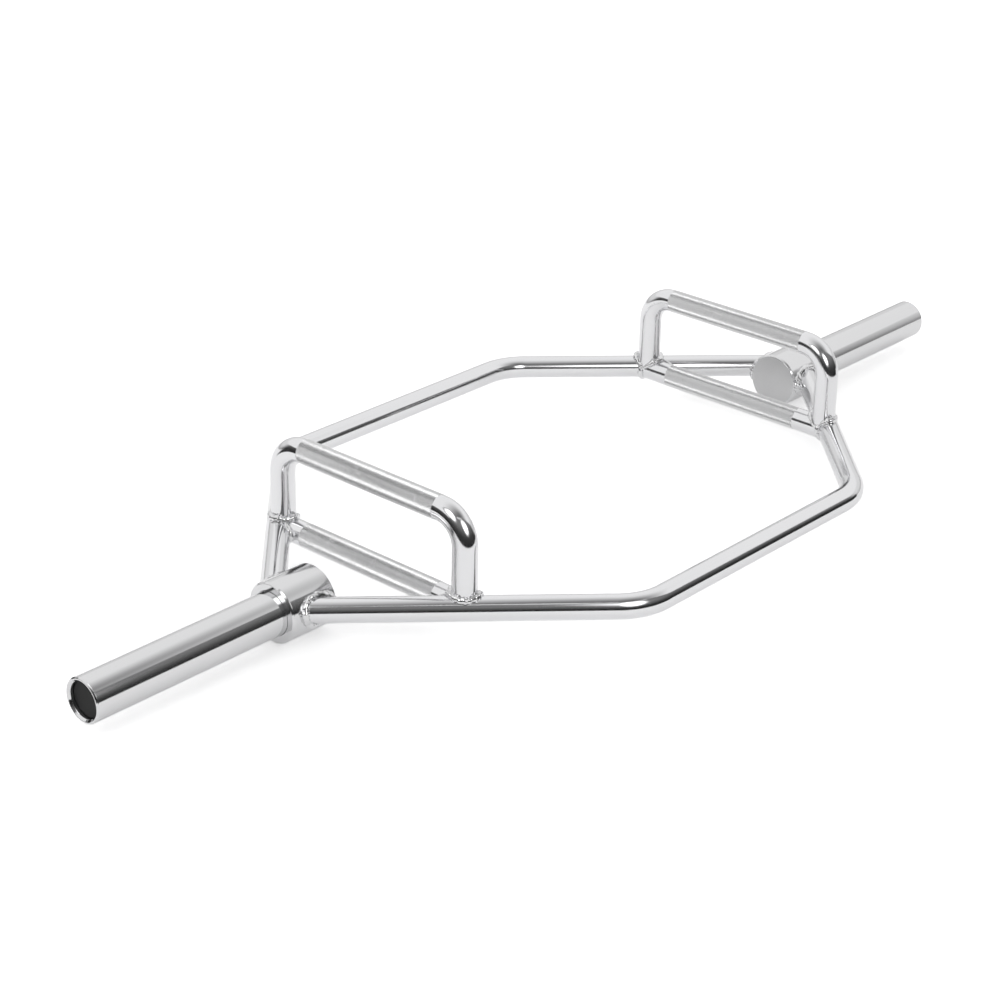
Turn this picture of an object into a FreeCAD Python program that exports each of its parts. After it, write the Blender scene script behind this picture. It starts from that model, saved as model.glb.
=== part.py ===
import FreeCAD, Part
import math
import os
import Sketcher
from FreeCAD import Vector

# Hex trap bar: two bent frame bars welded to a pair of hubs, a plate sleeve in each hub,
# and a low and a raised grip on each side of the space that the lifter stands in.
# Millimetres. +X runs along the sleeves, +Y to the rear and +Z up towards the raised grips.
# The origin lies under the middle of the bar, level with the underside of the hubs.

# Driving sizes: name, value and meaning
SIZES = (
    ("bar_diameter", 28.0, "round bar of the two frame bars"),
    ("frame_width", 550.0, "front bar axis to rear bar axis"),
    ("frame_straight_length", 386.0, "corner to corner along the front or rear bar"),
    ("frame_slope_angle", 44.6, "sloped bar against the sleeve axis, degrees"),
    ("frame_bend_radius", 70.0, "bend of a frame bar, on its axis"),
    ("frame_rise", 3.3, "frame bars above the sleeve axis"),
    ("hub_diameter", 69.0, "turned hub that the plates bear against"),
    ("hub_length", 63.0, "hub, face to face"),
    ("hub_face_setback", 0.5, "outer hub face inside the point where the bar axes meet"),
    ("hub_chamfer", 2.0, "broken edges of the hub"),
    ("socket_depth", 40.0, "blind socket of the hub, which holds the sleeve's spigot"),
    ("socket_clearance", 0.05, "spigot to socket, on the radius"),
    ("socket_mouth_chamfer", 1.4, "open edge of the socket, which leaves a fine line round the sleeve"),
    ("spigot_diameter", 48.0, "turned-down end of the sleeve, in the socket"),
    ("spigot_chamfer", 1.0, "lead-in edge of the spigot"),
    ("sleeve_diameter", 50.0, "plate sleeve, outside"),
    ("sleeve_length", 249.5, "plate sleeve beyond the hub"),
    ("sleeve_wall", 5.0, "wall of the sleeve tube"),
    ("sleeve_rim_chamfer", 1.5, "outer edge of the sleeve's open end"),
    ("sleeve_bore_chamfer", 1.0, "inner edge of the sleeve's open end"),
    ("cap_recess", 6.0, "cap face inside the sleeve's end"),
    ("cap_clearance", 0.1, "cap to sleeve bore, on the radius"),
    ("cap_depth", 18.0, "push-in cap, face to the end of its skirt"),
    ("cap_face_thickness", 3.0, "face of the cap"),
    ("cap_skirt_wall", 2.5, "skirt of the cap"),
    ("cap_edge_chamfer", 0.8, "edge of the cap face"),
    ("cap_rib_height", 0.8, "rib above the skirt"),
    ("cap_rib_width", 2.0, "rib along the skirt"),
    ("cap_rib_pitch", 4.0, "rib to rib along the skirt"),
    ("cap_rib_count", 3, "ribs that grip the bore"),
    ("handle_spacing", 647.0, "left to right lower handle, on the axes"),
    ("raised_handle_diameter", 28.0, "round bar of a raised handle"),
    ("raised_handle_width", 275.0, "leg to leg of a raised handle, on the axes"),
    ("raised_leg_inset", 8.5, "sloped bar's axis beyond the raised leg's, along the grip"),
    ("raised_handle_height", 102.0, "raised grip above the frame bars, on the axes"),
    ("raised_bend_radius", 34.0, "bend of a raised handle, on its axis"),
    ("raised_grip_length", 202.0, "knurled band of a raised handle"),
    ("lower_handle_diameter", 28.0, "round bar of a lower handle"),
    ("lower_grip_length", 200.0, "knurled band of a lower handle"),
    ("knurl_depth", 0.25, "root of the knurled bands below the bar"),
    ("hub_weld_size", 4.5, "leg of the weld between frame bar and hub"),
    ("handle_weld_size", 3.0, "leg of the welds at the handles"),
)

# Derived places, as expressions on the sheet
SLOPE = "sizes.frame_slope_angle"
HALF_WIDTH = "sizes.frame_width / 2"
SLEEVE_Z = "sizes.hub_diameter / 2"
FRAME_Z = f"({SLEEVE_Z} + sizes.frame_rise)"
# The axes of a front and a rear bar meet here, on the sleeve axis as seen from above
MEET_X = f"(sizes.frame_straight_length / 2 + {HALF_WIDTH} / tan({SLOPE}))"
HUB_FACE_X = f"({MEET_X} - sizes.hub_face_setback)"
HANDLE_X = "sizes.handle_spacing / 2"
LEG_Y = "sizes.raised_handle_width / 2"
# A raised handle sits where its legs, as wide apart as they are, stand on the sloped bars
RAISED_X = f"({MEET_X} - ({LEG_Y} + sizes.raised_leg_inset) / tan({SLOPE}))"
# A lower handle's axis crosses the axes of the sloped bars this far from the middle
CROSS_Y = f"(({MEET_X} - {HANDLE_X}) * tan({SLOPE}))"
SLEEVE_BORE = "(sizes.sleeve_diameter / 2 - sizes.sleeve_wall)"

SIDES = (("left", -1), ("right", 1))
ENDS = (("front", -1), ("rear", 1))

doc = FreeCAD.newDocument("hex_trap_bar")
sheet = doc.addObject("Spreadsheet::Sheet", "sizes")
for row, (alias, number, meaning) in enumerate(SIZES, start=1):
    sheet.set(f"A{row}", alias)
    sheet.set(f"B{row}", str(number))
    sheet.set(f"C{row}", meaning)
    sheet.setAlias(f"B{row}", alias)
doc.recompute()

nodes = {}


def value(expression):
    """Number that an expression on the sheet gives now."""
    return float(sheet.evalExpression(expression))


def place(piece, x="0", y="0", z="0", yaw="0", pitch="0"):
    """Bind a piece's place and turn to expressions."""
    base = f"create(<<vector>>; {x}; {y}; {z})"
    turn = f"create(<<rotation>>; {yaw}; {pitch}; 0)"
    piece.setExpression("Placement", f"create(<<placement>>; {base}; {turn})")


def new_body(label):
    body = doc.addObject("PartDesign::Body", label)
    body.Label = label
    return body


def origin_plane(body, role):
    return next(plane for plane in body.Origin.OriginFeatures if plane.Role == role)


def new_sketch(body, name, role):
    """Sketch on one of the body's own origin planes."""
    sketch = body.newObject("Sketcher::SketchObject", name)
    sketch.AttachmentSupport = [(origin_plane(body, role), "")]
    sketch.MapMode = "FlatFace"
    return sketch


def bind(sketch, constraint, expression):
    """Add a dimension whose value follows an expression."""
    index = sketch.addConstraint(constraint)
    sketch.setExpression(f"Constraints[{index}]", expression)


def circle_sketch(body, name, role, diameter):
    """Circle about the body's origin."""
    sketch = new_sketch(body, name, role)
    radius = value(diameter) / 2
    sketch.addGeometry(Part.Circle(Vector(), Vector(0, 0, 1), radius))
    sketch.addConstraint(Sketcher.Constraint("Coincident", 0, 3, -1, 1))
    bind(sketch, Sketcher.Constraint("Diameter", 0, 2 * radius), diameter)
    return sketch


def outline_sketch(body, name, role, corners):
    """Closed outline of straight edges; each corner is a pair of expressions from the origin."""
    sketch = new_sketch(body, name, role)
    points = [Vector(value(across), value(along)) for across, along in corners]
    for index, start in enumerate(points):
        end = points[(index + 1) % len(points)]
        sketch.addGeometry(Part.LineSegment(start, end))
    for index, (across, along) in enumerate(corners):
        following = (index + 1) % len(corners)
        sketch.addConstraint(Sketcher.Constraint("Coincident", index, 2, following, 1))
        for axis, kind, expression in ((-2, "DistanceX", across), (-1, "DistanceY", along)):
            if expression == "0":
                sketch.addConstraint(Sketcher.Constraint("PointOnObject", index, 1, axis))
            else:
                distance = Sketcher.Constraint(kind, -1, 1, index, 1, value(expression))
                bind(sketch, distance, expression)
    return sketch


def bent_path(body, role, run_offset, reach, depth, turn, radius):
    """Half of a bar's axis: a run from the middle, one bend, and a leg that ends at the reach.

    The run lies run_offset below the sketch's origin, and the leg ends depth below the origin.
    """
    sketch = new_sketch(body, "half_axis", role)
    bend, angle = value(radius), math.radians(value(turn))
    rise = value(depth) - value(run_offset)
    sign = math.copysign(1, -rise)
    run_y = -value(run_offset)
    leg_end = Vector(value(reach), -value(depth))
    corner_x = leg_end.x - abs(rise) / math.tan(angle)
    tangent = bend * math.tan(angle / 2)
    run_start, run_end = Vector(0, run_y), Vector(corner_x - tangent, run_y)
    leg_start = Vector(corner_x + tangent * math.cos(angle), run_y + sign * tangent * math.sin(angle))
    centre = Vector(run_end.x, run_y + sign * bend)
    start_angle = -math.pi / 2 if sign > 0 else math.pi / 2 - angle
    sketch.addGeometry(Part.LineSegment(run_start, run_end))
    sketch.addGeometry(
        Part.ArcOfCircle(Part.Circle(centre, Vector(0, 0, 1), bend), start_angle, start_angle + angle)
    )
    sketch.addGeometry(Part.LineSegment(leg_start, leg_end))
    arc_start, arc_end = (1, 2) if sign > 0 else (2, 1)
    sketch.addConstraint(Sketcher.Constraint("Horizontal", 0))
    sketch.addConstraint(Sketcher.Constraint("Tangent", 0, 2, 1, arc_start))
    sketch.addConstraint(Sketcher.Constraint("Tangent", 1, arc_end, 2, 1))
    bind(sketch, Sketcher.Constraint("Radius", 1, bend), radius)
    bind(sketch, Sketcher.Constraint("DistanceX", -1, 1, 2, 2, leg_end.x), reach)
    if run_offset == "0":
        sketch.addConstraint(Sketcher.Constraint("Coincident", 0, 1, -1, 1))
    else:
        sketch.addConstraint(Sketcher.Constraint("PointOnObject", 0, 1, -2))
        bind(sketch, Sketcher.Constraint("DistanceY", 0, 1, -1, 1, -run_y), run_offset)
    if depth == "0":
        sketch.addConstraint(Sketcher.Constraint("PointOnObject", 2, 2, -1))
    else:
        bind(sketch, Sketcher.Constraint("DistanceY", 2, 2, -1, 1, -leg_end.y), depth)
    if turn == "90":
        sketch.addConstraint(Sketcher.Constraint("Vertical", 2))
    else:
        bind(sketch, Sketcher.Constraint("Angle", 0, 1, 2, 1, sign * angle), turn)
    return sketch


def mirrored_pipe(body, path, section, mirror_role):
    """Sweep a section along half an axis and mirror it to the other half."""
    pipe = body.newObject("PartDesign::AdditivePipe", "half_bar")
    pipe.Profile = section
    pipe.Spine = path
    doc.recompute()
    mirrored = body.newObject("PartDesign::Mirrored", "both_halves")
    mirrored.Originals = [pipe]
    mirrored.MirrorPlane = (origin_plane(body, mirror_role), [""])
    body.Tip = mirrored
    doc.recompute()


def revolve(body, profile, feature="PartDesign::Revolution", name="turned"):
    """Turn a profile about the body's X axis."""
    turned = body.newObject(feature, name)
    turned.Profile = profile
    turned.ReferenceAxis = (profile, ["H_Axis"])
    turned.Angle = 360
    body.Tip = turned
    doc.recompute()
    return turned


def knurl_band(body, diameter, length):
    """Take the grip down to the root of its knurl, about the body's Y axis."""
    root = f"({diameter} / 2 - sizes.knurl_depth)"
    top = f"({diameter} / 2 + sizes.knurl_depth)"
    sketch = new_sketch(body, "knurl_section", "YZ_Plane")
    half, low, high = value(length) / 2, value(root), value(top)
    corners = [Vector(-half, low), Vector(half, low), Vector(half, high), Vector(-half, high)]
    for index, corner in enumerate(corners):
        sketch.addGeometry(Part.LineSegment(corner, corners[(index + 1) % 4]))
    for index in range(4):
        sketch.addConstraint(Sketcher.Constraint("Coincident", index, 2, (index + 1) % 4, 1))
    sketch.addConstraint(Sketcher.Constraint("Horizontal", 2))
    sketch.addConstraint(Sketcher.Constraint("Vertical", 1))
    sketch.addConstraint(Sketcher.Constraint("Vertical", 3))
    sketch.addConstraint(Sketcher.Constraint("Symmetric", 0, 1, 0, 2, -2))
    bind(sketch, Sketcher.Constraint("DistanceX", 0, 1, 0, 2, 2 * half), length)
    bind(sketch, Sketcher.Constraint("DistanceY", -1, 1, 0, 1, low), root)
    bind(sketch, Sketcher.Constraint("DistanceY", -1, 1, 2, 1, high), top)
    revolve(body, sketch, "PartDesign::Groove", "knurl_root")


def compound(name, pieces):
    group = doc.addObject("Part::Compound", name)
    group.Links = pieces
    return group


def cylinder(name, radius, height, **where):
    rod = doc.addObject("Part::Cylinder", name)
    rod.setExpression("Radius", radius)
    rod.setExpression("Height", height)
    place(rod, **where)
    return rod


def cut(label, base, tools):
    """Node that is a base less the pieces that it is fitted against."""
    fitted = doc.addObject("Part::Cut", label)
    fitted.Label = label
    fitted.Base = base
    fitted.Tool = compound(f"{label}_seats", tools)
    nodes[label] = fitted
    return fitted


def frame_bar(end, sign):
    """Front or rear frame bar: bent twice, with both ends coped to the hubs."""
    label = f"{end}_frame_bar"
    body = new_body(label)
    path = bent_path(body, "XY_Plane", HALF_WIDTH, MEET_X, "0", SLOPE, "sizes.frame_bend_radius")
    section = new_sketch(body, "bar_section", "YZ_Plane")
    radius, offset = value("sizes.bar_diameter") / 2, value(HALF_WIDTH)
    section.addGeometry(Part.Circle(Vector(-offset, 0), Vector(0, 0, 1), radius))
    section.addConstraint(Sketcher.Constraint("PointOnObject", 0, 3, -1))
    bind(section, Sketcher.Constraint("Diameter", 0, 2 * radius), "sizes.bar_diameter")
    bind(section, Sketcher.Constraint("DistanceX", 0, 3, -1, 1, offset), HALF_WIDTH)
    mirrored_pipe(body, path, section, "YZ_Plane")
    seat = new_sketch(body, "hub_seat", "YZ_Plane")
    hub_radius, rise = value(SLEEVE_Z), value("sizes.frame_rise")
    seat.addGeometry(Part.Circle(Vector(0, -rise), Vector(0, 0, 1), hub_radius))
    seat.addConstraint(Sketcher.Constraint("PointOnObject", 0, 3, -2))
    bind(seat, Sketcher.Constraint("Diameter", 0, 2 * hub_radius), "sizes.hub_diameter")
    bind(seat, Sketcher.Constraint("DistanceY", 0, 3, -1, 1, rise), "sizes.frame_rise")
    cope = body.newObject("PartDesign::Pocket", "hub_copes")
    cope.Profile = seat
    cope.Midplane = True
    cope.Type = "ThroughAll"
    body.Tip = cope
    place(body, z=FRAME_Z, yaw="0" if sign < 0 else "180")
    nodes[label] = body
    return body


def hub(side, sign):
    """Turned hub with a blind socket for the sleeve's spigot; its inner face is closed."""
    label = f"{side}_hub"
    body = new_body(label)
    length, chamfer = "sizes.hub_length", "sizes.hub_chamfer"
    outer = "sizes.hub_diameter / 2"
    socket = "(sizes.spigot_diameter / 2 + sizes.socket_clearance)"
    mouth = "sizes.socket_mouth_chamfer"
    floor = f"({length} - sizes.socket_depth)"
    profile = outline_sketch(body, "hub_profile", "XZ_Plane", (
        ("0", "0"),
        (floor, "0"),
        (floor, socket),
        (f"({length} - {mouth})", socket),
        (length, f"({socket} + {mouth})"),
        (length, f"({outer} - {chamfer})"),
        (f"({length} - {chamfer})", outer),
        (chamfer, outer),
        ("0", f"({outer} - {chamfer})"),
    ))
    revolve(body, profile)
    turn = "0" if sign > 0 else "180"
    place(body, x=f"{sign} * ({HUB_FACE_X} - {length})", z=SLEEVE_Z, yaw=turn)
    nodes[label] = body
    return body


def sleeve(side, sign):
    """Plate sleeve: a tube whose spigot bottoms in the hub's socket, open at its outer end."""
    label = f"{side}_sleeve"
    body = new_body(label)
    seat = "sizes.socket_depth"
    length = f"({seat} + sizes.sleeve_length)"
    outer, spigot = "sizes.sleeve_diameter / 2", "sizes.spigot_diameter / 2"
    rim, mouth, lead_in = "sizes.sleeve_rim_chamfer", "sizes.sleeve_bore_chamfer", "sizes.spigot_chamfer"
    profile = outline_sketch(body, "sleeve_profile", "XZ_Plane", (
        ("0", SLEEVE_BORE),
        (f"({length} - {mouth})", SLEEVE_BORE),
        (length, f"({SLEEVE_BORE} + {mouth})"),
        (length, f"({outer} - {rim})"),
        (f"({length} - {rim})", outer),
        (seat, outer),
        (seat, spigot),
        (lead_in, spigot),
        ("0", f"({spigot} - {lead_in})"),
    ))
    revolve(body, profile)
    turn = "0" if sign > 0 else "180"
    place(body, x=f"{sign} * ({HUB_FACE_X} - {seat})", z=SLEEVE_Z, yaw=turn)
    nodes[label] = body


def sleeve_cap(side, sign):
    """Push-in cap: a closed face, a skirt, and ribs that grip the sleeve's bore."""
    label = f"{side}_sleeve_cap"
    body = new_body(label)
    depth, chamfer = "sizes.cap_depth", "sizes.cap_edge_chamfer"
    face = f"({SLEEVE_BORE} - sizes.cap_clearance)"
    skirt = f"({face} - sizes.cap_rib_height)"
    inside = f"({skirt} - sizes.cap_skirt_wall)"
    back = f"({depth} - sizes.cap_face_thickness)"
    profile = outline_sketch(body, "cap_profile", "XZ_Plane", (
        ("0", inside),
        (back, inside),
        (back, "0"),
        (depth, "0"),
        (depth, f"({face} - {chamfer})"),
        (f"({depth} - {chamfer})", face),
        (back, face),
        (back, skirt),
        ("0", skirt),
    ))
    revolve(body, profile, name="cap_shell")
    first_rib = "sizes.cap_rib_width"
    rib_profile = outline_sketch(body, "rib_profile", "XZ_Plane", (
        (first_rib, f"({skirt} - sizes.cap_skirt_wall / 2)"),
        (f"({first_rib} + sizes.cap_rib_width)", f"({skirt} - sizes.cap_skirt_wall / 2)"),
        (f"({first_rib} + sizes.cap_rib_width)", face),
        (first_rib, skirt),
    ))
    rib = revolve(body, rib_profile, name="first_rib")
    ribs = body.newObject("PartDesign::LinearPattern", "ribs")
    ribs.Originals = [rib]
    ribs.Direction = (rib_profile, ["H_Axis"])
    ribs.setExpression("Occurrences", "sizes.cap_rib_count")
    ribs.setExpression("Length", "sizes.cap_rib_pitch * (sizes.cap_rib_count - 1)")
    body.Tip = ribs
    turn = "0" if sign > 0 else "180"
    sleeve_end = f"({HUB_FACE_X} + sizes.sleeve_length)"
    place(body, x=f"{sign} * ({sleeve_end} - sizes.cap_recess - {depth})", z=SLEEVE_Z, yaw=turn)
    nodes[label] = body


def lower_handle(side, sign, frame_bars):
    """Straight grip bar at the level of the frame, coped to both sloped bars."""
    body = new_body(f"{side}_lower_handle_bar")
    diameter = "sizes.lower_handle_diameter"
    section = circle_sketch(body, "grip_section", "XZ_Plane", diameter)
    pad = body.newObject("PartDesign::Pad", "grip_bar")
    pad.Profile = section
    pad.Midplane = True
    pad.setExpression("Length", f"2 * {CROSS_Y}")
    body.Tip = pad
    doc.recompute()
    knurl_band(body, diameter, "sizes.lower_grip_length")
    place(body, x=f"{sign} * {HANDLE_X}", z=FRAME_Z)
    return cut(f"{side}_lower_handle", body, frame_bars)


def raised_handle(side, sign, seats):
    """Grip bar bent into an arch, with legs that stand on the sloped bars and the lower handle."""
    body = new_body(f"{side}_raised_handle_bar")
    diameter = "sizes.raised_handle_diameter"
    path = bent_path(
        body, "YZ_Plane", "0", LEG_Y, "sizes.raised_handle_height", "90", "sizes.raised_bend_radius"
    )
    section = circle_sketch(body, "grip_section", "XZ_Plane", diameter)
    mirrored_pipe(body, path, section, "XZ_Plane")
    knurl_band(body, diameter, "sizes.raised_grip_length")
    place(body, x=f"{sign} * {RAISED_X}", z=f"{FRAME_Z} + sizes.raised_handle_height")
    return cut(f"{side}_raised_handle", body, seats)


def slope_rod(name, side_sign, end_sign, radius, height):
    """Rod on the axis of a sloped bar, from the point where the bar axes meet."""
    yaw = f"{end_sign} * (90 + {side_sign} * (90 - {SLOPE}))"
    return cylinder(name, radius, height, x=f"{side_sign} * {MEET_X}", z=FRAME_Z, yaw=yaw, pitch="90")


def weld(label, collar, land, seats):
    """Bead in the corner of two bars: what lies close to both, less the bars themselves."""
    corner = doc.addObject("Part::MultiCommon", f"{label}_corner")
    corner.Shapes = [collar, land]
    return cut(label, corner, seats)


def hub_weld(side, side_sign, end, end_sign, bar):
    """Bead round a frame bar where it meets the hub."""
    label = f"{side}_{end}_hub_weld"
    size = "sizes.hub_weld_size"
    reach = f"(({SLEEVE_Z} + sizes.bar_diameter / 2 + 2 * {size}) / sin({SLOPE}))"
    collar = slope_rod(f"{label}_collar", side_sign, end_sign, f"sizes.bar_diameter / 2 + {size}", reach)
    turn = "0" if side_sign > 0 else "180"
    inner_face = f"({HUB_FACE_X} - sizes.hub_length)"
    land = cylinder(
        f"{label}_land", f"{SLEEVE_Z} + {size}", "sizes.hub_length - 2 * sizes.hub_chamfer",
        x=f"{side_sign} * ({inner_face} + sizes.hub_chamfer)", z=SLEEVE_Z, yaw=turn, pitch="90",
    )
    core = cylinder(
        f"{label}_core", SLEEVE_Z, "sizes.hub_length",
        x=f"{side_sign} * {inner_face}", z=SLEEVE_Z, yaw=turn, pitch="90",
    )
    weld(label, collar, land, [core, bar])


def handle_welds(side, side_sign, end, end_sign, bar, lower, raised):
    """Beads at one corner: first round the lower handle's end, then round the raised leg."""
    size = "sizes.handle_weld_size"
    corner = f"{side}_{end}"
    land = slope_rod(
        f"{corner}_handle_land", side_sign, end_sign,
        f"sizes.bar_diameter / 2 + {size}", f"{HALF_WIDTH} / sin({SLOPE})",
    )
    lower_radius = "sizes.lower_handle_diameter / 2"
    lower_reach = f"((sizes.bar_diameter / 2 + {lower_radius} + 2 * {size}) / cos({SLOPE}))"
    lower_collar = cylinder(
        f"{corner}_lower_collar", f"{lower_radius} + {size}", lower_reach,
        x=f"{side_sign} * {HANDLE_X}", y=f"{end_sign} * ({CROSS_Y} - {size})", z=FRAME_Z,
        yaw=f"{end_sign} * -90", pitch="90",
    )
    lower_bead = weld(f"{corner}_lower_handle_weld", lower_collar, land, [bar, lower, raised])
    leg_collar = cylinder(
        f"{corner}_leg_collar", f"sizes.raised_handle_diameter / 2 + {size}",
        f"sizes.bar_diameter / 2 + {size}",
        x=f"{side_sign} * {RAISED_X}", y=f"{end_sign} * {LEG_Y}", z=FRAME_Z,
    )
    weld(f"{corner}_raised_handle_weld", leg_collar, land, [bar, lower, raised, lower_bead])


bars = {end: frame_bar(end, sign) for end, sign in ENDS}
frame_bars = list(bars.values())
for side, side_sign in SIDES:
    hub(side, side_sign)
    sleeve(side, side_sign)
    sleeve_cap(side, side_sign)
    lower = lower_handle(side, side_sign, frame_bars)
    raised = raised_handle(side, side_sign, frame_bars + [lower])
    for end, end_sign in ENDS:
        hub_weld(side, side_sign, end, end_sign, bars[end])
        handle_welds(side, side_sign, end, end_sign, bars[end], lower, raised)
doc.recompute()

for item in doc.Objects:
    if "Invalid" in item.State or "Error" in item.State:
        raise RuntimeError(f"{item.Label} failed: {item.State}")
for label, node in nodes.items():
    if node.Shape.isNull() or not node.Shape.isValid() or not node.Shape.Solids:
        raise RuntimeError(f"{label} has no valid solid")

os.makedirs("parts", exist_ok=True)
for label, node in nodes.items():
    node.Shape.exportStep(f"parts/{label}.step")
    print(label, len(node.Shape.Solids), round(node.Shape.Volume, 1))
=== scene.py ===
import math

import bmesh
import bpy
from bpy.props import FloatProperty, FloatVectorProperty, IntProperty, PointerProperty
from bpy.types import Operator, Panel, PropertyGroup
from mathutils import Matrix, Vector, noise


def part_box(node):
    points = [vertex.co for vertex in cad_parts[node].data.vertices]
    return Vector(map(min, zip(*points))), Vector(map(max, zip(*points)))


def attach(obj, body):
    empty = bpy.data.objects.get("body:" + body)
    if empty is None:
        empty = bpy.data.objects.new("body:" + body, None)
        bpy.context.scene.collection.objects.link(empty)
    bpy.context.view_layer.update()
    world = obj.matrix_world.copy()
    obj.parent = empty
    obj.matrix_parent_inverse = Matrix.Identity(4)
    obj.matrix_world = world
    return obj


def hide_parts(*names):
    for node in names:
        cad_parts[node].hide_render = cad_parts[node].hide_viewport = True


bl_info = {
    "name": "Hex trap bar",
    "version": (1, 0, 0),
    "blender": (4, 5, 0),
    "location": "View3D > Sidebar > Trap bar",
    "description": "Dresses the packed frame of a hex trap bar in chrome and sets it in a studio",
    "category": "Add Mesh",
}

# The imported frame, in metres: +X along the sleeves, +Y to the rear, +Z up
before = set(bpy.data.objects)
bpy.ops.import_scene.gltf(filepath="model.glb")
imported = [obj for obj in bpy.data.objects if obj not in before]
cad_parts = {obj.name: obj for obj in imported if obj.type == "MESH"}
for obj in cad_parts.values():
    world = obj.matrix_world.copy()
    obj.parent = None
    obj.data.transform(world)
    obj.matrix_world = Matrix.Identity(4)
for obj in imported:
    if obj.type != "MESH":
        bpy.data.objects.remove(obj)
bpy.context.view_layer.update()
BODY = "root"
X_AXIS = Vector((1, 0, 0))
Y_AXIS = Vector((0, 1, 0))
Z_AXIS = Vector((0, 0, 1))

# Sizes and places read from the frame
HUB_LOW, HUB_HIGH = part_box("right_hub")
SLEEVE_LOW, SLEEVE_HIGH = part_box("right_sleeve")
CAP_LOW, CAP_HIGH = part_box("right_sleeve_cap")
LOWER_LOW, LOWER_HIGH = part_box("right_lower_handle")
RAISED_LOW, RAISED_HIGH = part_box("right_raised_handle")
FRONT_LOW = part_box("front_frame_bar")[0]

# The straight lower handle gives the radius and the level of the round bars
BAR_RADIUS = (LOWER_HIGH.z - LOWER_LOW.z) / 2
FRAME_Z = (LOWER_HIGH.z + LOWER_LOW.z) / 2
FRONT_Y = FRONT_LOW.y + BAR_RADIUS
LOWER_X = (LOWER_HIGH.x + LOWER_LOW.x) / 2
RAISED_X = (RAISED_HIGH.x + RAISED_LOW.x) / 2
RAISED_Z = RAISED_HIGH.z - BAR_RADIUS
LEG_Y = RAISED_HIGH.y - BAR_RADIUS
HUB_RADIUS = (HUB_HIGH.z - HUB_LOW.z) / 2
SLEEVE_Z = (HUB_HIGH.z + HUB_LOW.z) / 2
SLEEVE_RADIUS = SLEEVE_HIGH.z - SLEEVE_Z
CAP_RADIUS = CAP_HIGH.z - SLEEVE_Z

# The hub and the right lower handle as a point on the axis, the axis and the radius
HUB_LINE = (Vector((0, 0, SLEEVE_Z)), X_AXIS, HUB_RADIUS)
LOWER_LINE = (Vector((LOWER_X, 0, FRAME_Z)), Y_AXIS, BAR_RADIUS)

SIDES = (("left", -1), ("right", 1))
ENDS = (("front", -1), ("rear", 1))

# Distance at which vertices are merged, and angle past which an edge is creased
MERGE = 1e-6
CREASE_ANGLE = math.radians(10)

# Places of a piece's main finish and of its grip or flat face in its mesh
MAIN_FINISH, OTHER_FINISH = 0, 1

# Weld beads: step towards the bar's middle that finds how level a joint is, then the pattern round a bead
INWARD_SHARE = 0.04
LUMP_SCALE = 2
LUMP_SEED_STEP = 3
LUMP_PULL = 3
FINE_SCALE = 7
FINE_SEED_STEP = 5

# Smoothest and roughest patch of each finish
ROUGHNESS = {
    "polished_chrome": (0.035, 0.085),
    "knurled_chrome": (0.18, 0.28),
    "satin_chrome": (0.11, 0.24),
    "turned_face": (0.38, 0.52),
    "weld_chrome": (0.06, 0.16),
    "black_plastic": (0.38, 0.55),
}

# Strength of each finish's relief and its height in metres
RELIEF = {
    "polished_chrome": (0.35, 0.0002),
    "knurled_chrome": (0.5, 0.0003),
    "satin_chrome": (0.6, 0.0001),
    "turned_face": (0.4, 0.0001),
    "weld_chrome": (0.5, 0.0004),
    "black_plastic": (0.2, 0.0001),
}

# Patterns of the finishes: cells or lines to the metre, then the spans of values that are stretched out
WAVE_SCALE = 38
SMUDGE_SCALE = 45
SPECK_SCALE = 900
SATIN_LINES = 420
FACE_LINES = 900
GRAIN_SPAN = (0.3, 0.7)
MARK_SPAN = (0.15, 0.40)

# Darkest and lightest lines of the satin chrome, as shares of its colour
SHADES = (0.82, 1.12)

# Sockets of a Mix node for colours, which share their names with those for numbers
COLOR_A, COLOR_B, COLOR_RESULT = 6, 7, 2

# Floor: distance from the bar's middle over which it turns white, and the steps round it and the wall
FLOOR_FADE = (0.5, 1.3)
STAGE_STEPS = 96

# Scrim: spans over which its dim corner ends, its light outside and inside that corner, and its outline
SCRIM_FADE_X = (-0.2, 1.5)
SCRIM_FADE_Y = (-0.9, 0.45)
SCRIM_LIGHT = (0.95, 0.16)
SCRIM_HALF = 4.0
SCRIM_FRONT = -1.13
SCRIM_SKEW = -0.36

# Wall: heading of its bright side, shares of the radius where that side begins, and the light of both sides
# from the foot up to a height
WALL_HEADING = math.radians(42)
WALL_EDGE_SHARES = (0.08, 0.45)
WALL_BRIGHT = (0.45, 0.80)
WALL_BRIGHT_HEIGHT = 0.75
WALL_DARK = (0.03, 0.20)
WALL_DARK_HEIGHT = 2.6

# Dark card: its height, its light from foot to top, the arc that it stands on and that arc's two radii
CARD_HEIGHT = 0.13
CARD_LIGHT = (0.01, 0.04)
CARD_START = math.radians(122)
CARD_TURN = math.radians(188)
CARD_STEPS = 64
CARD_RADII = (1.06, 0.64)

# Round lamps: light of core and edge, the core's share of the radius, then each lamp's place and radius
LAMP_LIGHT = (2.9, 0.2)
LAMP_CORE_SHARE = 0.35
LAMP_STEPS = 48
LAMPS = (
    ("front_softbox", Vector((-0.36, -0.93, 0.66)), 0.40),
    ("left_softbox", Vector((-1.20, -0.20, 1.08)), 0.50),
)


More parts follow.
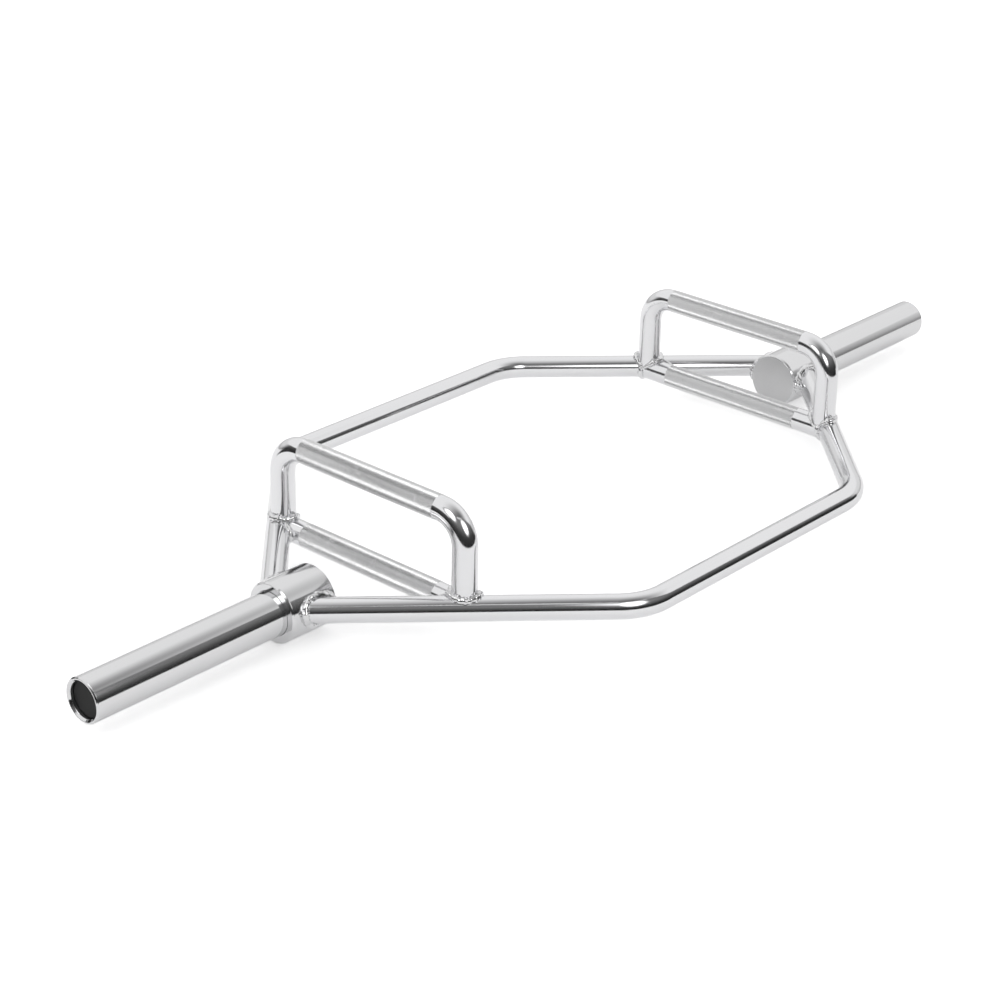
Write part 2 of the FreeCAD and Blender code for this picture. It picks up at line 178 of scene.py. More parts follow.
class BarSettings(PropertyGroup):
    """Bent frame bars."""

    straight_length: FloatProperty(
        name="Straight length", description="Corner to corner along the front or rear bar",
        default=0.386, unit="LENGTH")
    slope_angle: FloatProperty(
        name="Slope", description="Sloped bar against the sleeve axis",
        default=math.radians(44.6), subtype="ANGLE")
    bend_radius: FloatProperty(
        name="Bend radius", description="Bend of a frame bar, on its axis",
        default=0.070, unit="LENGTH")
    sides: IntProperty(
        name="Sides", description="Facets round a frame bar", default=96)
    bend_steps: IntProperty(
        name="Bend steps", description="Steps along one bend", default=32)
    hold: FloatProperty(
        name="Holding ring", description="Ring close to a bend or an end, which keeps the run straight",
        default=0.002, unit="LENGTH")


class HandleSettings(PropertyGroup):
    """Raised and lower handles."""

    raised_bend_radius: FloatProperty(
        name="Raised bend radius", description="Bend of a raised handle, on its axis",
        default=0.034, unit="LENGTH")
    raised_grip_length: FloatProperty(
        name="Raised grip", description="Knurled band of a raised handle",
        default=0.202, unit="LENGTH")
    lower_grip_length: FloatProperty(
        name="Lower grip", description="Knurled band of a lower handle",
        default=0.200, unit="LENGTH")
    knurl_columns: IntProperty(
        name="Knurl columns", description="Points and roots round the grip, an even number", default=144)
    knurl_stretch: FloatProperty(
        name="Knurl stretch", description="Length of a knurl point over its width", default=1.5)
    knurl_root: FloatProperty(
        name="Knurl root", description="Root of the knurl below the bar",
        default=0.00026, unit="LENGTH")
    knurl_crest: FloatProperty(
        name="Knurl crest", description="Points of the knurl above the bar",
        default=0.00020, unit="LENGTH")


class TurnedSettings(PropertyGroup):
    """Hubs, sleeves and caps, which are turned or moulded round one axis."""

    steps: IntProperty(
        name="Steps", description="Steps round the axis", default=128)
    edge_round: FloatProperty(
        name="Edge round", description="Small round on each turned edge",
        default=0.00025, unit="LENGTH")
    hub_chamfer: FloatProperty(
        name="Hub chamfer", description="Broken edges of the hub", default=0.0020, unit="LENGTH")
    socket_depth: FloatProperty(
        name="Socket depth", description="Blind socket of the hub", default=0.040, unit="LENGTH")
    socket_mouth: FloatProperty(
        name="Socket mouth", description="Chamfered mouth, a fine line round the sleeve",
        default=0.0014, unit="LENGTH")
    socket_clearance: FloatProperty(
        name="Socket clearance", description="Spigot to socket, on the radius",
        default=0.00005, unit="LENGTH")
    spigot_radius: FloatProperty(
        name="Spigot radius", description="Turned-down end of the sleeve, in the socket",
        default=0.024, unit="LENGTH")
    sleeve_wall: FloatProperty(
        name="Sleeve wall", description="Wall of the sleeve tube", default=0.005, unit="LENGTH")
    rim_chamfer: FloatProperty(
        name="Rim chamfer", description="Outer edge of the sleeve's open end",
        default=0.0015, unit="LENGTH")
    bore_chamfer: FloatProperty(
        name="Bore chamfer", description="Inner edge of the sleeve's open end",
        default=0.0024, unit="LENGTH")
    cap_chamfer: FloatProperty(
        name="Cap chamfer", description="Edge of the cap face", default=0.0008, unit="LENGTH")
    cap_face: FloatProperty(
        name="Cap face", description="Thickness of the cap's face", default=0.003, unit="LENGTH")
    cap_skirt: FloatProperty(
        name="Cap skirt", description="Wall of the cap's skirt", default=0.0025, unit="LENGTH")


class WeldSettings(PropertyGroup):
    """Weld beads."""

    hub_bead: FloatProperty(
        name="Hub bead", description="Radius of the bead between frame bar and hub",
        default=0.0058, unit="LENGTH")
    handle_bead: FloatProperty(
        name="Handle bead", description="Radius of the beads at the handles",
        default=0.0045, unit="LENGTH")
    ripple_pitch: FloatProperty(
        name="Ripple pitch", description="Ripple to ripple along a bead",
        default=0.0062, unit="LENGTH")
    ripple_depth: FloatProperty(
        name="Ripple depth", description="Ripples, as a share of the bead's radius",
        default=0.18, subtype="FACTOR")
    lump_depth: FloatProperty(
        name="Lump depth", description="Uneven swelling, as a share of the bead's radius",
        default=0.42, subtype="FACTOR")
    fine_depth: FloatProperty(
        name="Fine depth", description="Fine unevenness, as a share of the bead's radius",
        default=0.16, subtype="FACTOR")
    stand_off: FloatProperty(
        name="Stand-off", description="Distance of a bead's middle from the bars, as a share of its radius",
        default=0.3, subtype="FACTOR")
    thinning: FloatProperty(
        name="Thinning", description="Loss of radius where two bars run level into each other",
        default=0.45, subtype="FACTOR")
    sides: IntProperty(
        name="Sides", description="Facets round a bead", default=18)
    steps: IntProperty(
        name="Steps", description="Steps along one ripple", default=8)


class FinishSettings(PropertyGroup):
    """Colours of the finishes."""

    chrome: FloatVectorProperty(
        name="Chrome", description="Bright chrome plate",
        default=(0.78, 0.78, 0.785), subtype="COLOR", size=3)
    knurl: FloatVectorProperty(
        name="Knurled chrome", description="Chrome plate on the grips",
        default=(0.75, 0.75, 0.755), subtype="COLOR", size=3)
    satin: FloatVectorProperty(
        name="Satin chrome", description="Turned steel under chrome plate",
        default=(0.76, 0.76, 0.765), subtype="COLOR", size=3)
    matte: FloatVectorProperty(
        name="Matte face", description="Coarsely turned inner face of a hub",
        default=(0.66, 0.66, 0.665), subtype="COLOR", size=3)
    plastic: FloatVectorProperty(
        name="Plastic", description="Black moulded plastic",
        default=(0.028, 0.028, 0.029), subtype="COLOR", size=3)


class StageSettings(PropertyGroup):
    """Camera, floor and the light round the bar."""

    lens: FloatProperty(
        name="Lens", description="Focal length in millimetres on a 36 mm sensor", default=85.315)
    camera_place: FloatVectorProperty(
        name="Camera place", description="Camera's place",
        default=(-1.93723, -1.62110, 1.20553), size=3, unit="LENGTH")
    camera_azimuth: FloatProperty(
        name="Camera azimuth", description="Turn of the camera round the bar",
        default=math.radians(-48.32), subtype="ANGLE")
    camera_elevation: FloatProperty(
        name="Camera elevation", description="Camera's tilt downwards",
        default=math.radians(25.48), subtype="ANGLE")
    camera_roll: FloatProperty(
        name="Camera roll", description="Camera's turn about its own axis",
        default=math.radians(1.05), subtype="ANGLE")
    floor_radius: FloatProperty(
        name="Floor radius", description="Floor, from the middle to its edge", default=8.0, unit="LENGTH")
    floor_color: FloatVectorProperty(
        name="Floor colour", description="Pale floor", default=(0.90, 0.90, 0.90), subtype="COLOR", size=3)
    floor_lift: FloatProperty(
        name="Floor lift", description="Own brightness of the floor near the bar, as the camera sees it",
        default=0.48)
    floor_mirrored: FloatProperty(
        name="Mirrored floor", description="Own brightness of the floor in reflections", default=0.22)
    wall_radius: FloatProperty(
        name="Wall radius", description="Studio wall round the bar", default=3.8, unit="LENGTH")
    wall_height: FloatProperty(
        name="Wall height", description="Studio wall, floor to top", default=5.0, unit="LENGTH")
    scrim_height: FloatProperty(
        name="Scrim height", description="Lit scrim above the bar", default=1.5, unit="LENGTH")


class TrapBarSettings(PropertyGroup):
    """All settings of the trap bar."""

    bars: PointerProperty(type=BarSettings)
    handles: PointerProperty(type=HandleSettings)
    turned: PointerProperty(type=TurnedSettings)
    welds: PointerProperty(type=WeldSettings)
    finish: PointerProperty(type=FinishSettings)
    stage: PointerProperty(type=StageSettings)


# Round bars and where they meet

def slope_line(settings):
    """Sloped bar at the right rear, from its bend to the hub: a point, the axis and the radius."""
    angle = settings.bars.slope_angle
    corner = Vector((settings.bars.straight_length / 2, -FRONT_Y, FRAME_Z))
    return corner, Vector((math.cos(angle), -math.sin(angle), 0)), BAR_RADIUS


def reach(point, heading, line):
    """Distance from a point along a heading to the near side of a round bar, or None past its edge."""
    start, axis, radius = line
    offset = point - start
    offset = offset - axis * offset.dot(axis)
    across = heading - axis * heading.dot(axis)
    square = across.dot(across)
    half = across.dot(offset)
    root = half * half - square * (offset.dot(offset) - radius * radius)
    if root < -MERGE * radius:
        return None
    return (-half - math.sqrt(max(root, 0))) / square


def foot_reach(settings, point):
    """Distance down from a point of the right rear leg to the bars below it, at most to their axes."""
    lines = [slope_line(settings)]
    start, axis = lines[0][:2]
    outward = Vector((-axis.y, axis.x, 0))
    if (point - start).dot(outward) < 0:
        lines.append(LOWER_LINE)
    hits = [reach(point, -Z_AXIS, line) for line in lines]
    return min([point.z - FRAME_Z, *(hit for hit in hits if hit is not None)])


# Mesh steps that the pieces share

def verts_of(items):
    return [item for item in items if isinstance(item, bmesh.types.BMVert)]


def edges_of(items):
    return [item for item in items if isinstance(item, bmesh.types.BMEdge)]


def ring_verts(ring):
    return list(dict.fromkeys(vert for edge in ring for vert in edge.verts))


def add_ring(bm, centre, axis, radius, sides):
    """Ring of edges round an axis."""
    place = Matrix.Translation(centre) @ axis.to_track_quat("Z", "Y").to_matrix().to_4x4()
    made = bmesh.ops.create_circle(bm, cap_ends=False, segments=sides, radius=radius, matrix=place)
    return list(dict.fromkeys(edge for vert in made["verts"] for edge in vert.link_edges))


def push(bm, ring, shift):
    """Extrude a ring along a straight run."""
    grown = bmesh.ops.extrude_edge_only(bm, edges=ring)["geom"]
    bmesh.ops.translate(bm, verts=verts_of(grown), vec=shift)
    return [edge for edge in edges_of(grown) if edge.is_boundary]


def bend(bm, ring, centre, axis, angle, steps):
    """Extrude a ring round a bend."""
    spun = bmesh.ops.spin(bm, geom=ring, cent=centre, axis=axis, angle=angle, steps=steps)
    return edges_of(spun["geom_last"])


def cope_end(bm, ring, heading, depth, hold=0):
    """Run a bar on to what it meets, fit its end to that, and close the end with a fan."""
    nearest = min(depth(vert.co) for vert in ring_verts(ring))
    ring = push(bm, ring, heading * (nearest - hold))
    ring = push(bm, ring, Vector())
    for vert in ring_verts(ring):
        vert.co += heading * depth(vert.co)
    face = bmesh.ops.edgeloop_fill(bm, edges=ring)["faces"]
    middle = bmesh.ops.poke(bm, faces=face, center_mode="MEAN")["verts"][0]
    middle.co += heading * depth(middle.co)


def set_radius(verts, start, axis, radius):
    """Move vertices straight out or in to a radius round an axis."""
    for vert in verts:
        offset = vert.co - start
        out = offset - axis * offset.dot(axis)
        vert.co += out.normalized() * (radius - out.length)


def mirror_half(bm, axis):
    """Mirror a half across the middle of the bar and join the two."""
    everything = bm.verts[:] + bm.edges[:] + bm.faces[:]
    bmesh.ops.mirror(bm, geom=everything, axis=axis, merge_dist=MERGE)
    bmesh.ops.remove_doubles(bm, verts=bm.verts, dist=MERGE)
    bmesh.ops.recalc_face_normals(bm, faces=bm.faces)


def half_turn(bm):
    """Turn a piece about the upright axis, to the opposite side of the bar."""
    bmesh.ops.rotate(bm, cent=(0, 0, 0), matrix=Matrix.Rotation(math.pi, 3, "Z"), verts=bm.verts)


def shade(bm):
    """Smooth faces, with a crease wherever two of them meet at an angle."""
    for face in bm.faces:
        face.smooth = True
    for edge in bm.edges:
        if edge.is_manifold:
            edge.smooth = edge.calc_face_angle() < CREASE_ANGLE


def finish_piece(bm, node, materials):
    """Make the piece that stands for a node of the frame."""
    name = f"{node}_finished"
    mesh = bpy.data.meshes.new(name)
    bm.to_mesh(mesh)
    bm.free()
    for material in materials:
        mesh.materials.append(material)
    piece = bpy.data.objects.new(name, mesh)
    bpy.context.scene.collection.objects.link(piece)
    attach(piece, BODY)
    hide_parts(node)


# Frame bars

def frame_bar_mesh(settings):
    """Front frame bar: a straight run, two bends, and ends coped to the hubs."""
    bars = settings.bars
    bm = bmesh.new()
    tangent = bars.bend_radius * math.tan(bars.slope_angle / 2)
    run = bars.straight_length / 2 - tangent
    ring = add_ring(bm, Vector((0, FRONT_Y, FRAME_Z)), X_AXIS, BAR_RADIUS, bars.sides)
    ring = push(bm, ring, X_AXIS * (run - bars.hold))
    ring = push(bm, ring, X_AXIS * bars.hold)
    centre = Vector((run, FRONT_Y + bars.bend_radius, FRAME_Z))
    ring = bend(bm, ring, centre, Z_AXIS, bars.slope_angle, bars.bend_steps)
    heading = Vector((math.cos(bars.slope_angle), math.sin(bars.slope_angle), 0))
    ring = push(bm, ring, heading * bars.hold)
    cope_end(bm, ring, heading, lambda point: reach(point, heading, HUB_LINE), bars.hold)
    mirror_half(bm, "X")
    shade(bm)
    return bm


# Handles

def knurl(bm, ring, start, heading, length, handles):
    """Diamond knurl from the middle of a grip to one end: points and roots by turns."""
    columns = handles.knurl_columns
    step = math.tau / columns
    rows = round(length / 2 / (BAR_RADIUS * step * handles.knurl_stretch))
    gap = length / 2 / rows
    first = ring_verts(ring)[0].co - start
    side = heading.cross(first)
    spun = bmesh.ops.spin(
        bm, geom=ring, cent=start, axis=heading, dvec=heading * gap, angle=0, steps=rows)
    roots = []
    points = []
    for vert in bm.verts:
        offset = vert.co - start
        row = round(offset.dot(heading) / gap)
        column = round(math.atan2(offset.dot(side), offset.dot(first)) / step)
        if (row + column) % 2:
            points.append(vert)
        else:
            roots.append(vert)
    set_radius(roots, start, heading, BAR_RADIUS - handles.knurl_root)
    set_radius(points, start, heading, BAR_RADIUS + handles.knurl_crest)
    bmesh.ops.connect_verts(bm, verts=roots)
    for face in bm.faces:
        face.material_index = OTHER_FINISH
    return edges_of(spun["geom_last"])


def grip_end(bm, ring, start, heading, handles):
    """Shoulder where the knurl stops and the smooth bar begins."""
    ring = push(bm, ring, heading * handles.knurl_root)
    set_radius(ring_verts(ring), start, heading, BAR_RADIUS)
    return ring


def shade_handle(bm):
    """Smooth bar with flat-faced knurl points."""
    shade(bm)
    for face in bm.faces:
        if face.material_index == OTHER_FINISH:
            face.smooth = False


def smooth_after(bm, known):
    """Give the faces made since a count was taken the plain chrome."""
    bm.faces.ensure_lookup_table()
    for face in bm.faces[known:]:
        face.material_index = MAIN_FINISH


def lower_handle_mesh(settings):
    """Right lower handle: a straight bar, knurled, with ends coped to the sloped bars."""
    handles = settings.handles
    bm = bmesh.new()
    start = LOWER_LINE[0]
    ring = add_ring(bm, start, Y_AXIS, BAR_RADIUS, handles.knurl_columns)
    ring = knurl(bm, ring, start, Y_AXIS, handles.lower_grip_length, handles)
    known = len(bm.faces)
    ring = grip_end(bm, ring, start, Y_AXIS, handles)
    cope_end(bm, ring, Y_AXIS, lambda point: reach(point, Y_AXIS, slope_line(settings)))
    smooth_after(bm, known)
    mirror_half(bm, "Y")
    shade_handle(bm)
    return bm


def raised_handle_mesh(settings):
    """Right raised handle: an arch, knurled along the top, with legs coped to the bars below."""
    handles = settings.handles
    radius = handles.raised_bend_radius
    bm = bmesh.new()
    start = Vector((RAISED_X, 0, RAISED_Z))
    ring = add_ring(bm, start, Y_AXIS, BAR_RADIUS, handles.knurl_columns)
    ring = knurl(bm, ring, start, Y_AXIS, handles.raised_grip_length, handles)
    known = len(bm.faces)
    ring = grip_end(bm, ring, start, Y_AXIS, handles)
    past_grip = LEG_Y - radius - handles.raised_grip_length / 2 - handles.knurl_root
    ring = push(bm, ring, Y_AXIS * past_grip)
    centre = Vector((RAISED_X, LEG_Y - radius, RAISED_Z - radius))
    ring = bend(bm, ring, centre, X_AXIS, -math.pi / 2, settings.bars.bend_steps)
    down = -Z_AXIS
    ring = push(bm, ring, down * settings.bars.hold)
    cope_end(bm, ring, down, lambda point: foot_reach(settings, point), settings.bars.hold)
    smooth_after(bm, known)
    mirror_half(bm, "Y")
    shade_handle(bm)
    return bm


# Hubs, sleeves and caps

def turned_mesh(profile, settings, closed):
    """Spin a profile of places along the axis and radii round the sleeve's axis."""
    bm = bmesh.new()
    verts = [bm.verts.new((along, 0, SLEEVE_Z + radius)) for along, radius in profile]
    pairs = list(zip(verts, verts[1:]))
    if closed:
        pairs.append((verts[-1], verts[0]))
    edges = [bm.edges.new(pair) for pair in pairs]
    bmesh.ops.spin(
        bm, geom=verts + edges, cent=(0, 0, SLEEVE_Z), axis=X_AXIS, angle=math.tau,
        steps=settings.turned.steps, use_merge=True)
    bmesh.ops.remove_doubles(bm, verts=bm.verts, dist=MERGE)
    bmesh.ops.recalc_face_normals(bm, faces=bm.faces)
    creased = [edge for edge in bm.edges if edge.calc_face_angle(0) > CREASE_ANGLE]
    bmesh.ops.bevel(
        bm, geom=creased, offset=settings.turned.edge_round, offset_type="OFFSET",
        affect="EDGES", segments=2, profile=0.5, material=-1, clamp_overlap=True)
    shade(bm)
    return bm


def hub_mesh(settings):
    """Right hub, with its blind socket; the flat inner face has its own finish."""
    turned = settings.turned
    inner, outer = HUB_LOW.x, HUB_HIGH.x
    socket = turned.spigot_radius + turned.socket_clearance
    floor = outer - turned.socket_depth
    bm = turned_mesh((
        (inner, 0),
        (inner, HUB_RADIUS - turned.hub_chamfer),
        (inner + turned.hub_chamfer, HUB_RADIUS),
        (outer - turned.hub_chamfer, HUB_RADIUS),
        (outer, HUB_RADIUS - turned.hub_chamfer),
        (outer, socket + turned.socket_mouth),
        (outer - turned.socket_mouth, socket),
        (floor, socket),
        (floor, 0),
    ), settings, closed=False)
    for face in bm.faces:
        if face.normal.x < -math.cos(CREASE_ANGLE) and face.calc_center_median().x < inner + MERGE:
            face.material_index = OTHER_FINISH
    return bm


def sleeve_mesh(settings):
    """Right sleeve: a tube with a spigot in the hub and a chamfered rim at its open end."""
    turned = settings.turned
    inner, outer = SLEEVE_LOW.x, SLEEVE_HIGH.x
    bore = SLEEVE_RADIUS - turned.sleeve_wall
    return turned_mesh((
        (inner, bore),
        (outer - turned.bore_chamfer, bore),
        (outer, bore + turned.bore_chamfer),
        (outer, SLEEVE_RADIUS - turned.rim_chamfer),
        (outer - turned.rim_chamfer, SLEEVE_RADIUS),
        (HUB_HIGH.x, SLEEVE_RADIUS),
        (HUB_HIGH.x, turned.spigot_radius),
        (inner, turned.spigot_radius),
    ), settings, closed=True)


def cap_mesh(settings):
    """Right sleeve cap: a closed face and a skirt in the sleeve's bore."""
    turned = settings.turned
    back, front = CAP_LOW.x, CAP_HIGH.x
    inside = front - turned.cap_face
    return turned_mesh((
        (front, 0),
        (front, CAP_RADIUS - turned.cap_chamfer),
        (front - turned.cap_chamfer, CAP_RADIUS),
        (back, CAP_RADIUS),
        (back, CAP_RADIUS - turned.cap_skirt),
        (inside, CAP_RADIUS - turned.cap_skirt),
        (inside, 0),
    ), settings, closed=False)


# Weld beads

def ripple(angle, tube, count, seed, welds):
    """Swelling of a bead: curved ripples along it and uneven lumps."""
    out = Vector((math.cos(angle), math.sin(angle), 0))
    lump = noise.noise(out * LUMP_SCALE + Z_AXIS * LUMP_SEED_STEP * seed)
    fine = noise.noise(out * FINE_SCALE + Z_AXIS * (tube + FINE_SEED_STEP * seed))
    wave = -math.cos(count * angle + 2 * (math.cos(tube) + LUMP_PULL * lump + seed)) / 2
    return 1 + welds.ripple_depth * wave + welds.lump_depth * lump + welds.fine_depth * fine


def run_in(depth, point, middle):
    """Depth of a joint, and how level the two bars are there: 0 in a square corner, 1 where they run on."""
    inside = point.lerp(middle, INWARD_SHARE)
    edge = depth(point)
    slope = (edge - depth(inside)) / (point - inside).length
    return edge, max(slope, 0) / math.hypot(1, slope)


def bead_mesh(origin, heading, size, depth, seed, welds):
    """Bead spun round a bar and drawn along the bar onto what it meets."""
    bm = bmesh.new()
    stand_off = size * welds.stand_off
    centre = BAR_RADIUS + stand_off
    count = 2 * round(math.tau * centre / welds.ripple_pitch / 2)
    section = add_ring(bm, X_AXIS * centre, Y_AXIS, size, welds.sides)
    bmesh.ops.spin(
        bm, geom=ring_verts(section) + section, cent=(0, 0, 0), axis=Z_AXIS, angle=math.tau,
        steps=count * welds.steps, use_merge=True)
    bmesh.ops.remove_doubles(bm, verts=bm.verts, dist=MERGE)
    place = Matrix.Translation(origin) @ heading.to_track_quat("Z", "Y").to_matrix().to_4x4()
    for vert in bm.verts:
        angle = math.atan2(vert.co.y, vert.co.x)
        out = Vector((math.cos(angle), math.sin(angle), 0))
        core = out * centre
        section_part = vert.co - core
        tube = math.atan2(section_part.z, section_part.dot(out))
        joint, level = run_in(depth, place @ (out * BAR_RADIUS), origin)
        section_part *= ripple(angle, tube, count, seed, welds) * (1 - welds.thinning * level)
        vert.co = core + section_part - out * stand_off * level + Z_AXIS * (joint - stand_off)
    bmesh.ops.transform(bm, matrix=place, verts=bm.verts)
    bmesh.ops.recalc_face_normals(bm, faces=bm.faces)
    for face in bm.faces:
        face.smooth = True
    return bm


def mirror_bead(bm, side_sign, end_sign):
    """Take a bead from the right rear to its own corner of the bar."""
    bmesh.ops.scale(bm, vec=(side_sign, end_sign, 1), verts=bm.verts)
    bmesh.ops.recalc_face_normals(bm, faces=bm.faces)


def hub_bead(settings, seed):
    """Bead round the rear bar where it meets the right hub."""
    start, heading = slope_line(settings)[:2]
    return bead_mesh(
        start, heading, settings.welds.hub_bead,
        lambda point: reach(point, heading, HUB_LINE), seed, settings.welds)


def lower_bead(settings, seed):
    """Bead round the rear end of the right lower handle."""
    slope = slope_line(settings)
    return bead_mesh(
        LOWER_LINE[0], Y_AXIS, settings.welds.handle_bead,
        lambda point: reach(point, Y_AXIS, slope), seed, settings.welds)


def raised_bead(settings, seed):
    """Bead round the rear leg of the right raised handle."""
    start = Vector((RAISED_X, LEG_Y, RAISED_Z - settings.handles.raised_bend_radius))
    return bead_mesh(
        start, -Z_AXIS, settings.welds.handle_bead,
        lambda point: foot_reach(settings, point), seed, settings.welds)


# Materials

def add_node(tree, kind, **settings):
    node = tree.nodes.new(kind)
    for name, value in settings.items():
        setattr(node, name, value)
    return node


def add_noise(tree, scale, detail, roughness=0.5, dimensions="3D"):
    node = add_node(tree, "ShaderNodeTexNoise", noise_dimensions=dimensions)
    for name, value in (("Scale", scale), ("Detail", detail), ("Roughness", roughness)):
        node.inputs[name].default_value = value
    return node


def add_range(tree, span, ends=(0, 1), kind="LINEAR"):
    """Node that takes a span of values to two end values."""
    node = add_node(tree, "ShaderNodeMapRange", interpolation_type=kind)
    for name, value in zip(("From Min", "From Max", "To Min", "To Max"), (*span, *ends)):
        node.inputs[name].default_value = value
    return node


def new_group(name, inputs, outputs):
    """Empty shader group with named float or vector sockets."""
    group = bpy.data.node_groups.new(name, "ShaderNodeTree")
    for label, kind in inputs:
        group.interface.new_socket(label, in_out="INPUT", socket_type=kind)
    for label, kind in outputs:
        group.interface.new_socket(label, in_out="OUTPUT", socket_type=kind)
    return group, add_node(group, "NodeGroupInput"), add_node(group, "NodeGroupOutput")


def turned_grain_group():
    """Fine lines round the sleeve's axis, on turned cylinders and faces alike."""
    group, given, result = new_group(
        "turned_grain",
        (("Position", "NodeSocketVector"), ("Lines", "NodeSocketFloat")),
        (("Grain", "NodeSocketFloat"),))
    split = add_node(group, "ShaderNodeSeparateXYZ")
    level = add_node(group, "ShaderNodeMath", operation="SUBTRACT")
    level.inputs[1].default_value = SLEEVE_Z
    across = add_node(group, "ShaderNodeCombineXYZ")
    radius = add_node(group, "ShaderNodeVectorMath", operation="LENGTH")
    profile = add_node(group, "ShaderNodeCombineXYZ")
    scaled = add_node(group, "ShaderNodeVectorMath", operation="SCALE")
    lines = add_noise(group, scale=1, detail=3, roughness=0.7, dimensions="2D")
    stretch = add_range(group, GRAIN_SPAN)
    link = group.links.new
    link(given.outputs["Position"], split.inputs["Vector"])
    link(split.outputs["Z"], level.inputs[0])
    link(split.outputs["Y"], across.inputs["X"])
    link(level.outputs["Value"], across.inputs["Y"])
    link(across.outputs["Vector"], radius.inputs[0])
    link(split.outputs["X"], profile.inputs["X"])
    link(radius.outputs["Value"], profile.inputs["Y"])
    link(profile.outputs["Vector"], scaled.inputs[0])
    link(given.outputs["Lines"], scaled.inputs["Scale"])
    link(scaled.outputs["Vector"], lines.inputs["Vector"])
    link(lines.outputs["Fac"], stretch.inputs["Value"])
    link(stretch.outputs["Result"], result.inputs["Grain"])
    return group


def handling_marks_group():
    """Faint smudges and specks that break up a plain surface."""
    group, given, result = new_group(
        "handling_marks",
        (("Position", "NodeSocketVector"), ("Low", "NodeSocketFloat"), ("High", "NodeSocketFloat")),
        (("Value", "NodeSocketFloat"), ("Fine", "NodeSocketFloat")))
    smudge = add_noise(group, SMUDGE_SCALE, detail=6, roughness=0.6)
    fine = add_noise(group, SPECK_SCALE, detail=2)
    blend = add_node(group, "ShaderNodeMath", operation="MULTIPLY")
    spread = add_range(group, MARK_SPAN)
    link = group.links.new
    link(given.outputs["Position"], smudge.inputs["Vector"])
    link(given.outputs["Position"], fine.inputs["Vector"])
    link(smudge.outputs["Fac"], blend.inputs[0])
    link(fine.outputs["Fac"], blend.inputs[1])
    link(blend.outputs["Value"], spread.inputs["Value"])
    link(given.outputs["Low"], spread.inputs["To Min"])
    link(given.outputs["High"], spread.inputs["To Max"])
    link(spread.outputs["Result"], result.inputs["Value"])
    link(fine.outputs["Fac"], result.inputs["Fine"])
    return group


def add_group(tree, name, make, place):
    """Shared group, made once, on the piece's own coordinates."""
    group = bpy.data.node_groups.get(name) or make()
    node = add_node(tree, "ShaderNodeGroup", node_tree=group)
    tree.links.new(place.outputs["Object"], node.inputs["Position"])
    return node


def new_material(name, color, metallic):
    """Material with a shader, its place on the piece and the shared smudges."""
    material = bpy.data.materials.new(name)
    material.use_nodes = True
    tree = material.node_tree
    shader = tree.nodes["Principled BSDF"]
    shader.inputs["Base Color"].default_value = (*color, 1)
    shader.inputs["Metallic"].default_value = metallic
    place = add_node(tree, "ShaderNodeTexCoord")
    marks = add_group(tree, "handling_marks", handling_marks_group, place)
    marks.inputs["Low"].default_value, marks.inputs["High"].default_value = ROUGHNESS[name]
    tree.links.new(marks.outputs["Value"], shader.inputs["Roughness"])
    return material, place, marks


def add_relief(material, height):
    """Bump of the material's own strength and height from a value."""
    tree = material.node_tree
    bump = add_node(tree, "ShaderNodeBump")
    bump.inputs["Strength"].default_value, bump.inputs["Distance"].default_value = RELIEF[material.name]
    tree.links.new(height, bump.inputs["Height"])
    tree.links.new(bump.outputs["Normal"], tree.nodes["Principled BSDF"].inputs["Normal"])


def add_shades(material, value, color):
    """Base colour that a value takes from a darker to a lighter shade."""
    tree = material.node_tree
    shades = add_node(tree, "ShaderNodeMix", data_type="RGBA")
    for socket, share in zip((COLOR_A, COLOR_B), SHADES):
        shades.inputs[socket].default_value = (*[part * share for part in color], 1)
    tree.links.new(value, shades.inputs["Factor"])
    tree.links.new(shades.outputs[COLOR_RESULT], tree.nodes["Principled BSDF"].inputs["Base Color"])


def add_turned_grain(material, place, lines):
    """Value of the shared turned lines on a material."""
    grain = add_group(material.node_tree, "turned_grain", turned_grain_group, place)
    grain.inputs["Lines"].default_value = lines
    return grain.outputs["Grain"]


def speckled(name, color, metallic):
    """Finish with the specks of the handling marks as its relief."""
    material, place, marks = new_material(name, color, metallic)
    add_relief(material, marks.outputs["Fine"])
    return material


def polished_chrome(settings):
    """Bright chrome plate, barely uneven."""
    material, place, marks = new_material("polished_chrome", settings.finish.chrome, 1)
    wave = add_noise(material.node_tree, WAVE_SCALE, detail=2)
    material.node_tree.links.new(place.outputs["Object"], wave.inputs["Vector"])
    add_relief(material, wave.outputs["Fac"])
    return material


def knurled_chrome(settings):
    """Chrome over knurl points, dull from many small facets."""
    return speckled("knurled_chrome", settings.finish.knurl, 1)


def satin_chrome(settings):
    """Turned steel under chrome plate: fine lines round the axis."""
    material, place, marks = new_material("satin_chrome", settings.finish.satin, 1)
    grain = add_turned_grain(material, place, SATIN_LINES)
    add_relief(material, grain)
    add_shades(material, grain, settings.finish.satin)
    return material


def turned_face(settings):
    """Coarsely turned flat face, dull."""
    material, place, marks = new_material("turned_face", settings.finish.matte, 1)
    add_relief(material, add_turned_grain(material, place, FACE_LINES))
    return material


def weld_chrome(settings):
    """Weld metal under bright plate, pitted."""
    return speckled("weld_chrome", settings.finish.chrome, 1)


def black_plastic(settings):
    """Black moulded plastic with a fine grain."""
    return speckled("black_plastic", settings.finish.plastic, 0)


MATERIALS = {
    "polished_chrome": polished_chrome, "knurled_chrome": knurled_chrome, "satin_chrome": satin_chrome,
    "turned_face": turned_face, "weld_chrome": weld_chrome, "black_plastic": black_plastic,
}


def finishes(settings, *names):
    """Materials by name, each made once."""
    return [bpy.data.materials.get(name) or MATERIALS[name](settings) for name in names]


# Stage

